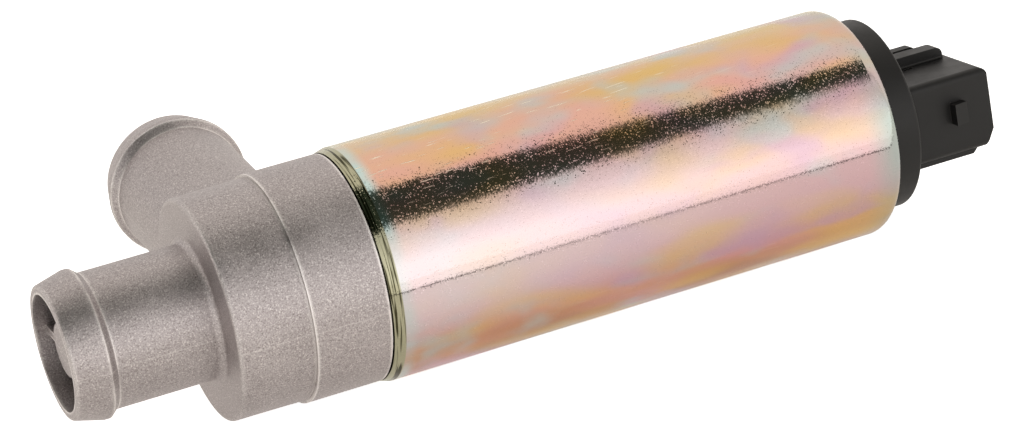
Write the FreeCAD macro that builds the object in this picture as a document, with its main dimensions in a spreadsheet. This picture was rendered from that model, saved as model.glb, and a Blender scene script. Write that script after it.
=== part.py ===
import FreeCAD
import Part
import Sketcher
import math
import os
import re

# Idle control valve, in millimetres and degrees.
# X runs along the valve from the hose nipple to the socket, Y points out of the side nipple, Z is up.
# The origin is on the axis, half way along the steel can.

sizes = {
    # Steel can, measured from its front rim to its rear end
    "can_diameter": 38.5,
    "can_length": 89.1,
    "can_wall": 1.2,
    "can_shoulder": 2.8,
    "lip_length": 1.6,
    "lip_taper": 0.5,
    "lip_depth": 1.85,
    "lip_seat": 0.3,
    # Cast body: a drafted head and a flange, with the side nipple across them
    "crimp_gap": 0.3,
    "flange_diameter": 37.4,
    "head_diameter": 36.4,
    "head_draft": 0.1,
    "flange_length": 12.5,
    "flange_margin": 0.9,
    "head_margin": 1.9,
    "root_fillet": 1.2,
    "face_fillet": 0.6,
    "neck_clearance": 0.15,
    "spigot_length": 7.7,
    "spigot_clearance": 0.1,
    "chamber_diameter": 26.0,
    "chamber_wall": 2.6,
    # Hose nipples, the same on both ports
    "nipple_diameter": 22.0,
    "nipple_wall": 1.55,
    "nipple_length": 24.0,
    "side_reach": 51.2,
    "bead_height": 1.05,
    "mouth_drop": 0.2,
    "mouth_round": 0.5,
    "bead_ramp": 4.7,
    "bead_land": 0.9,
    "bead_back": 1.2,
    # Spider in the axial nipple, which carries the rod's front bush
    "hub_diameter": 10.0,
    "hub_recess": 2.7,
    "hub_cap": 2.0,
    "spoke_width": 2.0,
    "spoke_length": 7.0,
    "spoke_recess": 0.5,
    "spoke_angle": 20.0,
    "spoke_count": 3,
    # Rod, bushes and moving pieces
    "rod_diameter": 4.0,
    "rod_tip_gap": 0.8,
    "collar_width": 1.2,
    "collar_rise": 1.0,
    "bush_wall": 1.2,
    "bush_length": 10.0,
    "running_gap": 0.05,
    "slide_gap": 0.15,
    "fit_gap": 0.05,
    "travel": 6.0,
    "stop_gap": 0.5,
    "end_gap": 0.3,
    "spool_wall": 1.4,
    "spool_length": 18.8,
    "spool_skirt": 1.5,
    "spool_web": 2.5,
    "spool_hub_diameter": 10.0,
    "spool_hub_length": 5.5,
    "vent_diameter": 4.0,
    "vent_circle": 16.4,
    "vent_count": 6,
    "clip_width": 0.8,
    "clip_depth": 0.4,
    "clip_diameter": 8.0,
    "clip_mouth": 2.6,
    "armature_diameter": 13.0,
    "armature_length": 30.0,
    # Coil and its iron circuit
    "tube_wall": 0.5,
    "front_plate": 4.0,
    "rear_plate": 4.0,
    "core_length": 23.0,
    "bobbin_wall": 1.0,
    "bobbin_flange": 2.0,
    "bobbin_gap": 1.5,
    "winding_gap": 1.0,
    "washer_thickness": 0.5,
    "spring_pocket": 6.0,
    "spring_diameter": 7.0,
    "spring_wire": 0.9,
    "spring_turns": 6,
    "spring_room": 0.5,
    # O-rings
    "seal_section": 1.1,
    "seal_gap": 0.03,
    "seal_groove": 2.0,
    "seal_setback": 2.6,
    # Moulded cap with its socket
    "cap_flange": 7.9,
    "corner_land": 0.2,
    "collar_setback": 3.15,
    "collar_thickness": 4.7,
    "collar_edge": 0.5,
    "socket_turn": -9.0,
    "socket_width": 19.5,
    "socket_height": 13.5,
    "socket_length": 16.8,
    "socket_drop": 1.4,
    "socket_depth": 13.0,
    "socket_wall": 1.5,
    "socket_corner": 1.2,
    "cavity_corner": 0.8,
    "lower_bevel_length": 1.6,
    "lower_bevel_height": 2.9,
    "mouth_corner": 1.2,
    "rib_height": 1.9,
    "rib_width": 3.2,
    "rib_gap": 1.0,
    "rib_inset": 0.5,
    "long_rib_setback": 1.6,
    "short_rib_setback": 4.2,
    "lower_rib_width": 5.0,
    "lower_rib_setback": 2.9,
    "lower_rib_height": 0.9,
    "lower_rib_nose": 0.8,
    "rib_nose": 1.2,
    "rib_foot": 0.3,
    "notch_length": 8.6,
    "notch_width": 0.9,
    "notch_depth": 0.7,
    "notch_gap": 0.7,
    "lug_height": 2.0,
    "lug_ramp": 0.5,
    "lug_lift": 0.6,
    "lug_width": 3.6,
    "lug_length": 2.4,
    "lug_setback": 5.2,
    # Terminals and coil leads
    "blade_width": 2.8,
    "blade_thickness": 0.8,
    "blade_pitch": 5.0,
    "blade_recess": 4.5,
    "tail_setback": 2.8,
    "tail_length": 3.0,
    "tail_room": 2.0,
    "lead_diameter": 1.2,
    "lead_inset": 4.55,
    "lead_clearance": 0.5,
}

# Places along the axis and radii that follow from the sizes
derived = {
    "can_radius": "can_diameter / 2",
    "can_inside": "can_radius - can_wall",
    "can_front": "-can_length / 2",
    "can_rear": "can_length / 2",
    "rear_hole": "can_radius - collar_setback + fit_gap",
    "shoulder": "min(can_shoulder; collar_setback - corner_land)",
    "lip_front": "can_front - lip_length",
    "lip_back": "can_front + lip_seat",
    "lip_inside": "can_radius - lip_depth",
    "flange_back": "lip_front - crimp_gap",
    "step": "flange_back - flange_length",
    "side_axis": "flange_back - flange_margin - nipple_radius",
    "head_face": "side_axis - nipple_radius - head_margin",
    "head_back_radius": "head_diameter / 2 + head_draft",
    "head_face_radius": "head_diameter / 2 - head_draft",
    "mouth": "head_face - nipple_length",
    "nipple_radius": "nipple_diameter / 2",
    "bore_radius": "nipple_radius - nipple_wall",
    "bead_radius": "nipple_radius + bead_height",
    "mouth_radius": "nipple_radius - mouth_drop",
    "side_fillet": "min(root_fillet; flange_margin - corner_land / 2; head_margin - corner_land / 2)",
    "spigot_radius": "can_inside - spigot_clearance",
    "spigot_back": "lip_back + spigot_length",
    "chamber_front": "head_face + chamber_wall",
    "groove_radius": "can_inside - seal_section",
    "body_groove": "lip_back + seal_setback",
    "hub_front": "mouth + hub_recess",
    "hub_back": "hub_front + hub_cap + bush_length",
    "rod_radius": "rod_diameter / 2",
    "bush_inside": "rod_radius + running_gap",
    "bush_outside": "bush_inside + bush_wall",
    "front_bush_front": "hub_front + hub_cap",
    "rod_front": "front_bush_front + rod_tip_gap",
    "rod_collar": "rod_radius + collar_rise",
    "front_plate_back": "spigot_back + front_plate",
    "rear_plate_back": "can_rear - can_wall - cap_flange",
    "rear_plate_front": "rear_plate_back - rear_plate",
    "plate_radius": "can_inside - fit_gap",
    "armature_radius": "armature_diameter / 2",
    "tube_inside": "armature_radius + slide_gap",
    "tube_outside": "tube_inside + tube_wall",
    "core_front": "rear_plate_back - core_length",
    "washer_front": "core_front - washer_thickness",
    "armature_back": "washer_front - stop_gap - travel",
    "armature_front": "armature_back - armature_length",
    "core_radius": "tube_inside - fit_gap",
    "pocket_radius": "spring_diameter / 2 + spring_wire / 2 + spring_room",
    "spring_front": "armature_back - spring_pocket",
    "spring_back": "core_front + spring_pocket",
    "spring_rise": "spring_back - spring_front - spring_wire - 2 * fit_gap",
    "rear_bush_back": "rear_plate_back - fit_gap",
    "rear_bush_front": "rear_bush_back - bush_length",
    "rod_back": "rear_plate_back - travel",
    "spool_radius": "chamber_diameter / 2 - slide_gap",
    "spool_inside": "spool_radius - spool_wall",
    "spool_front": "chamber_front + end_gap",
    "spool_back": "spool_front + spool_length",
    "spool_hub_back": "spool_back - spool_skirt",
    "spool_hub_front": "spool_hub_back - spool_hub_length",
    "clip_front": "spool_hub_front - clip_width",
    "clip_inside": "rod_radius - clip_depth",
    "bobbin_inside": "tube_outside + fit_gap",
    "bobbin_core": "bobbin_inside + bobbin_wall",
    "bobbin_radius": "can_inside - bobbin_gap",
    "winding_radius": "bobbin_radius - winding_gap",
    "winding_front": "front_plate_back + bobbin_flange",
    "winding_back": "rear_plate_front - bobbin_flange",
    "cap_shelf": "can_rear - can_wall",
    "cap_bevel": "shoulder - can_wall + corner_land / 2",
    "cap_groove": "rear_plate_back + seal_setback",
    "collar_radius": "can_radius - collar_setback",
    "collar_back": "can_rear + collar_thickness",
    "socket_end": "collar_back + socket_length",
    "socket_floor": "socket_end - socket_depth",
    "half_width": "socket_width / 2",
    "socket_top": "socket_height / 2 - socket_drop",
    "socket_low": "-socket_height / 2 - socket_drop",
    "blade_top": "blade_width / 2 - socket_drop",
    "blade_low": "-blade_width / 2 - socket_drop",
    "blade_end": "socket_end - blade_recess",
    "tail_front": "rear_plate_back + tail_setback",
    "tail_back": "tail_front + tail_length",
    "lead_height": "winding_radius - lead_inset",
    "tail_top": "lead_height + blade_width / 2",
    "half_pitch": "blade_pitch / 2",
    "half_blade": "blade_thickness / 2",
    "short_rib_far": "half_width - rib_inset",
    "short_rib_near": "short_rib_far - rib_width",
    "long_rib_far": "short_rib_near - rib_gap",
    "long_rib_near": "long_rib_far - rib_width",
    "lower_rib_near": "-half_width + socket_corner",
    "rib_top": "socket_top + rib_height",
    "lower_rib_low": "socket_low - lower_rib_height",
    "long_rib_end": "socket_end - long_rib_setback",
    "short_rib_end": "socket_end - short_rib_setback",
    "lower_rib_end": "socket_end - lower_rib_setback",
    "lug_end": "socket_end - lug_setback",
    "notch_far": "long_rib_near - notch_gap",
    "notch_near": "notch_far - notch_width",
    "lug_middle": "lug_lift - socket_drop",
}

doc = FreeCAD.newDocument("idle_control_valve")
sheet = doc.addObject("Spreadsheet::Sheet", "Sizes")
for row, (name, number) in enumerate(sizes.items(), start=1):
    sheet.set("A%d" % row, name)
    sheet.set("B%d" % row, str(number))
    sheet.setAlias("B%d" % row, name)
doc.recompute()


def formula(text):
    """Spell out a formula in terms of the sheet's cells."""
    def spell(found):
        word = found.group(0)
        if word in derived:
            return "(" + formula(derived[word]) + ")"
        return "Sizes." + word if word in sizes else word
    return re.sub(r"[a-z][a-z_]*", spell, text)


def value(text):
    return float(sheet.evalExpression(formula(text)))


def new_body(label):
    body = doc.addObject("PartDesign::Body", label)
    body.Label = label
    return body


def sketch_on(body, name, plane, station="0", turn="0"):
    """A sketch on one of the body's origin planes, moved along the plane's normal and turned about it."""
    sketch = body.newObject("Sketcher::SketchObject", name)
    support = next(feature for feature in body.Origin.OriginFeatures if feature.Role == plane)
    sketch.AttachmentSupport = [(support, "")]
    sketch.MapMode = "FlatFace"
    sketch.setExpression("AttachmentOffset.Base.z", formula(station))
    sketch.setExpression("AttachmentOffset.Rotation.Angle", formula(turn))
    return sketch


def tie(sketch, kind, geometry, position, text):
    """Hold a sketch point at a distance from the sketch's origin."""
    index = sketch.addConstraint(Sketcher.Constraint(kind, -1, 1, geometry, position, value(text)))
    sketch.setExpression("Constraints[%d]" % index, formula(text))


def place_point(sketch, geometry, position, across, up):
    tie(sketch, "DistanceX", geometry, position, across)
    tie(sketch, "DistanceY", geometry, position, up)


def outline(sketch, corners):
    """A closed outline of straight lines through corners, each a pair of formulas."""
    first = sketch.GeometryCount
    count = len(corners)
    points = [FreeCAD.Vector(value(across), value(up), 0) for across, up in corners]
    for start, end in zip(points, points[1:] + points[:1]):
        sketch.addGeometry(Part.LineSegment(start, end))
    for side, (across, up) in enumerate(corners):
        following = first + (side + 1) % count
        sketch.addConstraint(Sketcher.Constraint("Coincident", first + side, 2, following, 1))
        place_point(sketch, first + side, 1, across, up)


def rectangle(sketch, left, right, low, high):
    outline(sketch, [(left, low), (right, low), (right, high), (left, high)])


def circle(sketch, across, up, radius):
    centre = FreeCAD.Vector(value(across), value(up), 0)
    ring = sketch.addGeometry(Part.Circle(centre, FreeCAD.Vector(0, 0, 1), value(radius)))
    place_point(sketch, ring, 3, across, up)
    index = sketch.addConstraint(Sketcher.Constraint("Radius", ring, value(radius)))
    sketch.setExpression("Constraints[%d]" % index, formula(radius))


def revolve(body, sketch, kind, axis="H_Axis"):
    feature = body.newObject("PartDesign::" + kind, sketch.Name + "_turned")
    feature.Profile = sketch
    feature.ReferenceAxis = (sketch, [axis])
    feature.Angle = 360
    return feature


def extrude(body, sketch, kind, length):
    """Pad along the sketch's normal, or pocket along it, over a length."""
    feature = body.newObject("PartDesign::" + kind, sketch.Name + "_extruded")
    feature.Profile = sketch
    feature.setExpression("Length", formula(length))
    feature.Reversed = kind == "Pocket"
    return feature


def run_along(body, name, kind, start, end, draw, turn="0"):
    """Pad or pocket a section, drawn across the valve's axis, from one station to another."""
    sketch = sketch_on(body, name, "YZ_Plane", start, turn)
    draw(sketch)
    return extrude(body, sketch, kind, "(%s) - (%s)" % (end, start))


def repeat_about_axis(body, feature, count):
    pattern = body.newObject("PartDesign::PolarPattern", feature.Name + "_pattern")
    pattern.Originals = [feature]
    pattern.Axis = (next(line for line in body.Origin.OriginFeatures if line.Role == "X_Axis"), [""])
    pattern.Angle = 360
    pattern.setExpression("Occurrences", formula(count))
    body.Tip = pattern
    return pattern


def turned(label, corners):
    """A turned piece: a closed half section, as station and radius formulas, spun about the valve's axis."""
    body = new_body(label)
    profile = sketch_on(body, label + "_section", "XY_Plane")
    outline(profile, corners)
    revolve(body, profile, "Revolution")
    return body


def ring_section(front, back, inside, outside):
    return [(front, inside), (back, inside), (back, outside), (front, outside)]


def edges_where(body, test):
    doc.recompute()
    shape = body.Tip.Shape
    return ["Edge%d" % (index + 1) for index, edge in enumerate(shape.Edges) if test(edge)]


def dress(body, name, kind, radius, test):
    """Fillet or chamfer every edge that passes the test."""
    base = body.Tip
    names = edges_where(body, test)
    if not names:
        raise RuntimeError("no edge found for " + name)
    feature = body.newObject("PartDesign::" + kind, name)
    feature.Base = (base, names)
    feature.setExpression("Radius" if kind == "Fillet" else "Size", formula(radius))
    return feature


def near(first, second):
    return abs(first - second) < 0.001


def rim(station, radius):
    """A test for the circular edge about the valve's axis at a station and radius."""
    x, r = value(station), value(radius)

    def test(edge):
        curve = edge.Curve
        return isinstance(curve, Part.Circle) and near(curve.Radius, r) and near(curve.Center.x, x)
    return test


def nipple_profile(root, face, sign):
    """Half section of a hose nipple with its bead, from a root station out to its end face."""
    back = "(%s)" % sign
    crest = "%s - %s * bead_ramp" % (face, back)
    land = "%s - %s * (bead_ramp + bead_land)" % (face, back)
    foot = "%s - %s * (bead_ramp + bead_land + bead_back)" % (face, back)
    return [(root, "0"), (root, "nipple_radius"), (foot, "nipple_radius"), (land, "bead_radius"),
            (crest, "bead_radius"), (face, "mouth_radius"), (face, "0")]


# Cast body
valve_body = new_body("valve_body")
head = sketch_on(valve_body, "head", "XY_Plane")
outline(head, [("head_face", "0"), ("head_face", "head_face_radius"), ("flange_back", "head_back_radius"),
               ("flange_back", "0")])
revolve(valve_body, head, "Revolution")
dress(valve_body, "head_face_fillet", "Fillet", "face_fillet", rim("head_face", "head_face_radius"))

side_nipple = sketch_on(valve_body, "side_nipple", "XY_Plane")
side_nipple.setExpression("AttachmentOffset.Base.x", formula("side_axis"))
outline(side_nipple, [(radius, reach) for reach, radius in
                      nipple_profile("chamber_diameter / 4", "side_reach", "1")])
revolve(valve_body, side_nipple, "Revolution", "V_Axis")


def side_root(edge):
    """The seam between the side nipple and the head."""
    spots = [edge.valueAt(edge.FirstParameter + share * (edge.LastParameter - edge.FirstParameter))
             for share in (0.2, 0.5, 0.8)]
    from_axis = [FreeCAD.Vector(spot.x - value("side_axis"), 0, spot.z).Length for spot in spots]
    on_head = all(FreeCAD.Vector(0, spot.y, spot.z).Length < value("head_back_radius") for spot in spots)
    on_nipple = all(near(reach, value("nipple_radius")) for reach in from_axis)
    return on_nipple and on_head and not near(spots[0].y, spots[1].y + spots[1].y - spots[2].y)


dress(valve_body, "side_root_fillet", "Fillet", "side_fillet", side_root)

nipple = sketch_on(valve_body, "axial_nipple", "XY_Plane")
outline(nipple, nipple_profile("chamber_front", "mouth", "-1"))
revolve(valve_body, nipple, "Revolution")
dress(valve_body, "axial_root_fillet", "Fillet", "root_fillet", rim("head_face", "nipple_radius"))

flange = sketch_on(valve_body, "flange", "XY_Plane")
outline(flange, [("step", "0"), ("step", "flange_diameter / 2"),
                 ("flange_back", "flange_diameter / 2"), ("flange_back", "lip_inside - neck_clearance"),
                 ("lip_back", "lip_inside - neck_clearance"), ("lip_back", "spigot_radius"),
                 ("body_groove", "spigot_radius"), ("body_groove", "groove_radius"),
                 ("body_groove + seal_groove", "groove_radius"),
                 ("body_groove + seal_groove", "spigot_radius"),
                 ("spigot_back", "spigot_radius"), ("spigot_back", "0")])
revolve(valve_body, flange, "Revolution")

bore = sketch_on(valve_body, "bore", "XY_Plane")
outline(bore, [("mouth", "0"), ("mouth", "bore_radius"), ("chamber_front", "bore_radius"),
               ("chamber_front", "chamber_diameter / 2"), ("spigot_back", "chamber_diameter / 2"),
               ("spigot_back", "0")])
revolve(valve_body, bore, "Groove")
side_bore = sketch_on(valve_body, "side_bore", "XY_Plane")
side_bore.setExpression("AttachmentOffset.Base.x", formula("side_axis"))
rectangle(side_bore, "0", "bore_radius", "0", "side_reach")
revolve(valve_body, side_bore, "Groove", "V_Axis")

spoke = run_along(valve_body, "spoke", "Pad", "hub_front + spoke_recess",
                  "hub_front + spoke_recess + spoke_length",
                  lambda sketch: rectangle(sketch, "hub_diameter / 4", "bore_radius + nipple_wall / 2",
                                           "-spoke_width / 2", "spoke_width / 2"), "spoke_angle")
repeat_about_axis(valve_body, spoke, "spoke_count")
hub = sketch_on(valve_body, "hub", "XY_Plane")
rectangle(hub, "hub_front", "hub_back", "0", "hub_diameter / 2")
revolve(valve_body, hub, "Revolution")
bush_seat = sketch_on(valve_body, "bush_seat", "XY_Plane")
rectangle(bush_seat, "front_bush_front", "hub_back", "0", "bush_outside")
revolve(valve_body, bush_seat, "Groove")


def nipple_mouths(edge):
    """The outer rims of both hose nipples' end faces."""
    curve = edge.Curve
    if not isinstance(curve, Part.Circle) or not near(curve.Radius, value("mouth_radius")):
        return False
    return near(curve.Center.x, value("mouth")) or near(curve.Center.y, value("side_reach"))


dress(valve_body, "mouth_rounds", "Fillet", "mouth_round", nipple_mouths)

# Steel can with its front lip rolled into the body's neck
can = turned("can", [("lip_front", "lip_inside"), ("lip_back", "lip_inside"), ("lip_back", "can_inside"),
                     ("cap_shelf", "can_inside"), ("cap_shelf", "rear_hole"), ("can_rear", "rear_hole"),
                     ("can_rear", "can_radius"), ("can_front", "can_radius"),
                     ("lip_front", "can_radius - lip_taper")])
dress(can, "can_shoulder_fillet", "Fillet", "shoulder", rim("can_rear", "can_radius"))
dress(can, "can_inside_fillet", "Fillet", "shoulder - can_wall", rim("cap_shelf", "can_inside"))

# Moulded cap: flange inside the can, collar outside it, socket, ribs and lugs
cap = turned("connector_cap", [("rear_plate_back", "0"), ("rear_plate_back", "plate_radius"),
                               ("cap_groove", "plate_radius"), ("cap_groove", "groove_radius"),
                               ("cap_groove + seal_groove", "groove_radius"),
                               ("cap_groove + seal_groove", "plate_radius"),
                               ("cap_shelf", "plate_radius"), ("cap_shelf", "collar_radius"),
                               ("collar_back", "collar_radius"), ("collar_back", "0")])
dress(cap, "cap_bevel", "Chamfer", "cap_bevel", rim("cap_shelf", "plate_radius"))
dress(cap, "collar_edge", "Fillet", "collar_edge", rim("collar_back", "collar_radius"))
run_along(cap, "socket", "Pad", "collar_back", "socket_end",
          lambda sketch: rectangle(sketch, "-half_width", "half_width", "socket_low", "socket_top"),
          "socket_turn")


def along_socket(inset):
    """A test for the edges that run along the socket at its corners, set in from its outside."""
    width = value("half_width - " + inset)
    corners = [FreeCAD.Vector(width, value("socket_top - " + inset), 0).Length,
               FreeCAD.Vector(width, value("socket_low + " + inset), 0).Length]

    def test(edge):
        spots = [edge.valueAt(edge.FirstParameter), edge.valueAt(edge.LastParameter)]
        reach = [FreeCAD.Vector(0, spot.y, spot.z).Length for spot in spots]
        lengthwise = near(spots[0].y, spots[1].y) and near(spots[0].z, spots[1].z)
        return lengthwise and any(near(reach[0], corner) for corner in corners)
    return test


def side_view(name, plane):
    """A sketch along the valve's axis that turns with the socket."""
    sketch = sketch_on(cap, name, plane)
    about_x = FreeCAD.Rotation(FreeCAD.Vector(1, 0, 0), 1)
    sketch.AttachmentOffset = FreeCAD.Placement(FreeCAD.Vector(), about_x)
    sketch.setExpression("AttachmentOffset.Rotation.Angle", formula("socket_turn"))
    return sketch


def both_ways(sketch, kind, width):
    """Pad or pocket a side view by a width, half to each side of it."""
    feature = extrude(cap, sketch, kind, width)
    feature.SideType = "Symmetric"


def outside_corner(sketch):
    """What a round takes off the top corner of the socket's mouth."""
    tip, top, radius = value("socket_end"), value("socket_top"), value("mouth_corner")
    corner = FreeCAD.Vector(tip, top, 0)
    centre = FreeCAD.Vector(tip - radius, top - radius, 0)
    round_off = Part.Circle(centre, FreeCAD.Vector(0, 0, 1), radius)
    sketch.addGeometry(Part.LineSegment(FreeCAD.Vector(centre.x, top, 0), corner))
    sketch.addGeometry(Part.LineSegment(corner, FreeCAD.Vector(tip, centre.y, 0)))
    sketch.addGeometry(Part.ArcOfCircle(round_off, 0, math.pi / 2))
    for first, second in ((0, 1), (1, 2), (2, 0)):
        sketch.addConstraint(Sketcher.Constraint("Coincident", first, 2, second, 1))
    place_point(sketch, 0, 1, "socket_end - mouth_corner", "socket_top")
    place_point(sketch, 0, 2, "socket_end", "socket_top")
    place_point(sketch, 1, 2, "socket_end", "socket_top - mouth_corner")
    tie(sketch, "DistanceX", 2, 3, "socket_end - mouth_corner")


def in_socket(spot):
    """A point's distance across the turned socket, and its height."""
    turn = math.radians(value("socket_turn"))
    return (spot.y * math.cos(turn) + spot.z * math.sin(turn),
            spot.z * math.cos(turn) - spot.y * math.sin(turn))


def ends(edge):
    return [edge.valueAt(edge.FirstParameter), edge.valueAt(edge.LastParameter)]


def crossing(station, height):
    """A test for the edge that crosses the socket at a station and height."""
    x, level = value(station), value(height)
    return lambda edge: all(near(spot.x, x) and near(in_socket(spot)[1], level) for spot in ends(edge))


def rib_feet(edge):
    """The seams along the upper ribs, where they rise from the socket's top."""
    sides = [value(side) for side in ("long_rib_near", "long_rib_far", "short_rib_near")]
    spots = [in_socket(spot) for spot in ends(edge)]
    level = all(near(height, value("socket_top")) for across, height in spots)
    return level and any(all(near(across, side) for across, height in spots) for side in sides)


dress(cap, "socket_corners", "Fillet", "socket_corner", along_socket("0"))
lower_bevel = side_view("lower_bevel", "XZ_Plane")
outline(lower_bevel, [("socket_end - lower_bevel_length", "socket_low"), ("socket_end", "socket_low"),
                      ("socket_end", "socket_low + lower_bevel_height")])
both_ways(lower_bevel, "Pocket", "2 * socket_width")
upper_round = side_view("upper_round", "XZ_Plane")
outside_corner(upper_round)
both_ways(upper_round, "Pocket", "2 * socket_width")
run_along(cap, "long_rib", "Pad", "collar_back", "long_rib_end",
          lambda sketch: rectangle(sketch, "long_rib_near", "long_rib_far", "socket_top - socket_wall / 2",
                                   "rib_top"), "socket_turn")
run_along(cap, "short_rib", "Pad", "collar_back", "short_rib_end",
          lambda sketch: rectangle(sketch, "short_rib_near", "short_rib_far - socket_corner",
                                   "socket_top - socket_wall / 2", "rib_top"), "socket_turn")
run_along(cap, "lower_rib", "Pad", "collar_back", "lower_rib_end",
          lambda sketch: rectangle(sketch, "lower_rib_near", "lower_rib_near + lower_rib_width",
                                   "lower_rib_low", "socket_low + socket_wall / 2"), "socket_turn")
dress(cap, "long_rib_nose", "Fillet", "rib_nose", crossing("long_rib_end", "rib_top"))
dress(cap, "short_rib_nose", "Fillet", "rib_nose", crossing("short_rib_end", "rib_top"))
dress(cap, "lower_rib_nose", "Chamfer", "lower_rib_nose", crossing("lower_rib_end", "lower_rib_low"))
dress(cap, "rib_feet", "Fillet", "rib_foot", rib_feet)
run_along(cap, "root_notch", "Pocket", "collar_back", "collar_back + notch_length",
          lambda sketch: rectangle(sketch, "notch_near", "notch_far",
                                   "socket_top - notch_depth", "rib_top"), "socket_turn")
for name, side in (("front_lug", "-1"), ("rear_lug", "1")):
    foot = "%s * (half_width - socket_wall / 2)" % side
    crest = "%s * (half_width + lug_height)" % side
    ramp_end = "%s * (half_width + lug_height - lug_ramp)" % side
    lug = side_view(name, "XY_Plane")
    lug.setExpression("AttachmentOffset.Base.y", formula("-lug_middle * sin(socket_turn)"))
    lug.setExpression("AttachmentOffset.Base.z", formula("lug_middle * cos(socket_turn)"))
    outline(lug, [("lug_end - lug_length", foot), ("lug_end", foot), ("lug_end", ramp_end),
                  ("lug_end - lug_length", crest)])
    both_ways(lug, "Pad", "lug_width")
run_along(cap, "cavity", "Pocket", "socket_floor", "socket_end",
          lambda sketch: rectangle(sketch, "socket_wall - half_width", "half_width - socket_wall",
                                   "socket_low + socket_wall", "socket_top - socket_wall"), "socket_turn")
dress(cap, "cavity_corners", "Fillet", "cavity_corner", along_socket("socket_wall"))
run_along(cap, "tail_room", "Pocket", "rear_plate_back", "tail_back",
          lambda sketch: rectangle(sketch, "-half_pitch - half_blade - tail_room",
                                   "half_pitch + half_blade + tail_room",
                                   "blade_low - tail_room", "tail_top + tail_room / 2"), "socket_turn")
for name, side in (("front_slot", "-1"), ("rear_slot", "1")):
    run_along(cap, name, "Pocket", "tail_back - fit_gap", "socket_floor + fit_gap",
              lambda sketch: rectangle(sketch, "%s * half_pitch - half_blade - fit_gap" % side,
                                       "%s * half_pitch + half_blade + fit_gap" % side,
                                       "blade_low - fit_gap", "blade_top + fit_gap"), "socket_turn")

# Terminals with bent-up tails, and the winding's leads that meet them
for end, side in (("front", "-1"), ("rear", "1")):
    near_face = "%s * half_pitch - half_blade" % side
    far_face = "%s * half_pitch + half_blade" % side
    terminal = new_body("terminal_" + end)
    run_along(terminal, end + "_blade", "Pad", "tail_front", "blade_end",
              lambda sketch: rectangle(sketch, near_face, far_face, "blade_low", "blade_top"),
              "socket_turn")
    run_along(terminal, end + "_tail", "Pad", "tail_front", "tail_back",
              lambda sketch: rectangle(sketch, near_face, far_face, "blade_low", "tail_top"),
              "socket_turn")
    lead = new_body("coil_lead_" + end)
    run_along(lead, end + "_lead", "Pad", "winding_back", "tail_front",
              lambda sketch: circle(sketch, "%s * half_pitch" % side, "lead_height", "lead_diameter / 2"),
              "socket_turn")

# Coil, its former and the iron circuit
bobbin = turned("coil_bobbin", [("front_plate_back", "bobbin_inside"), ("rear_plate_front", "bobbin_inside"),
                                ("rear_plate_front", "bobbin_radius"), ("winding_back", "bobbin_radius"),
                                ("winding_back", "bobbin_core"), ("winding_front", "bobbin_core"),
                                ("winding_front", "bobbin_radius"), ("front_plate_back", "bobbin_radius")])
turned("coil_winding", ring_section("winding_front", "winding_back", "bobbin_core", "winding_radius"))
turned("front_pole_plate", ring_section("spigot_back", "front_plate_back", "tube_outside + fit_gap",
                                        "plate_radius"))
rear_pole_plate = turned("rear_pole_plate", ring_section("rear_plate_front", "rear_plate_back",
                                                         "core_radius + fit_gap", "plate_radius"))
for piece, start, end in ((bobbin, "winding_back", "rear_plate_front"),
                          (rear_pole_plate, "rear_plate_front", "rear_plate_back")):
    for name, side in (("front", "-1"), ("rear", "1")):
        run_along(piece, "%s_%s_lead_hole" % (piece.Label, name), "Pocket", start, end,
                  lambda sketch: circle(sketch, "%s * half_pitch" % side, "lead_height",
                                        "lead_diameter / 2 + lead_clearance"), "socket_turn")
turned("pole_core", [("core_front", "pocket_radius"), ("spring_back", "pocket_radius"),
                     ("spring_back", "rod_radius + 2 * slide_gap"),
                     ("rear_bush_front", "rod_radius + 2 * slide_gap"), ("rear_bush_front", "bush_outside"),
                     ("rear_plate_back", "bush_outside"), ("rear_plate_back", "core_radius"),
                     ("core_front", "core_radius")])
turned("guide_tube", ring_section("spigot_back", "rear_plate_front", "tube_inside", "tube_outside"))
turned("anti_stick_washer", ring_section("washer_front", "core_front", "pocket_radius", "core_radius"))
turned("front_bush", ring_section("front_bush_front", "hub_back", "bush_inside", "bush_outside"))
turned("rear_bush", ring_section("rear_bush_front", "rear_bush_back", "bush_inside", "bush_outside"))

# O-rings of the body and the cap
for label, groove in (("body_seal", "body_groove"), ("cap_seal", "cap_groove")):
    seal = doc.addObject("Part::Torus", label)
    seal.setExpression("Radius1", formula("(can_inside + groove_radius) / 2"))
    seal.setExpression("Radius2", formula("seal_section / 2 - seal_gap"))
    seal.Placement = FreeCAD.Placement(FreeCAD.Vector(), FreeCAD.Rotation(FreeCAD.Vector(0, 1, 0), 90))
    seal.setExpression("Placement.Base.x", formula(groove + " + seal_groove / 2"))

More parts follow.
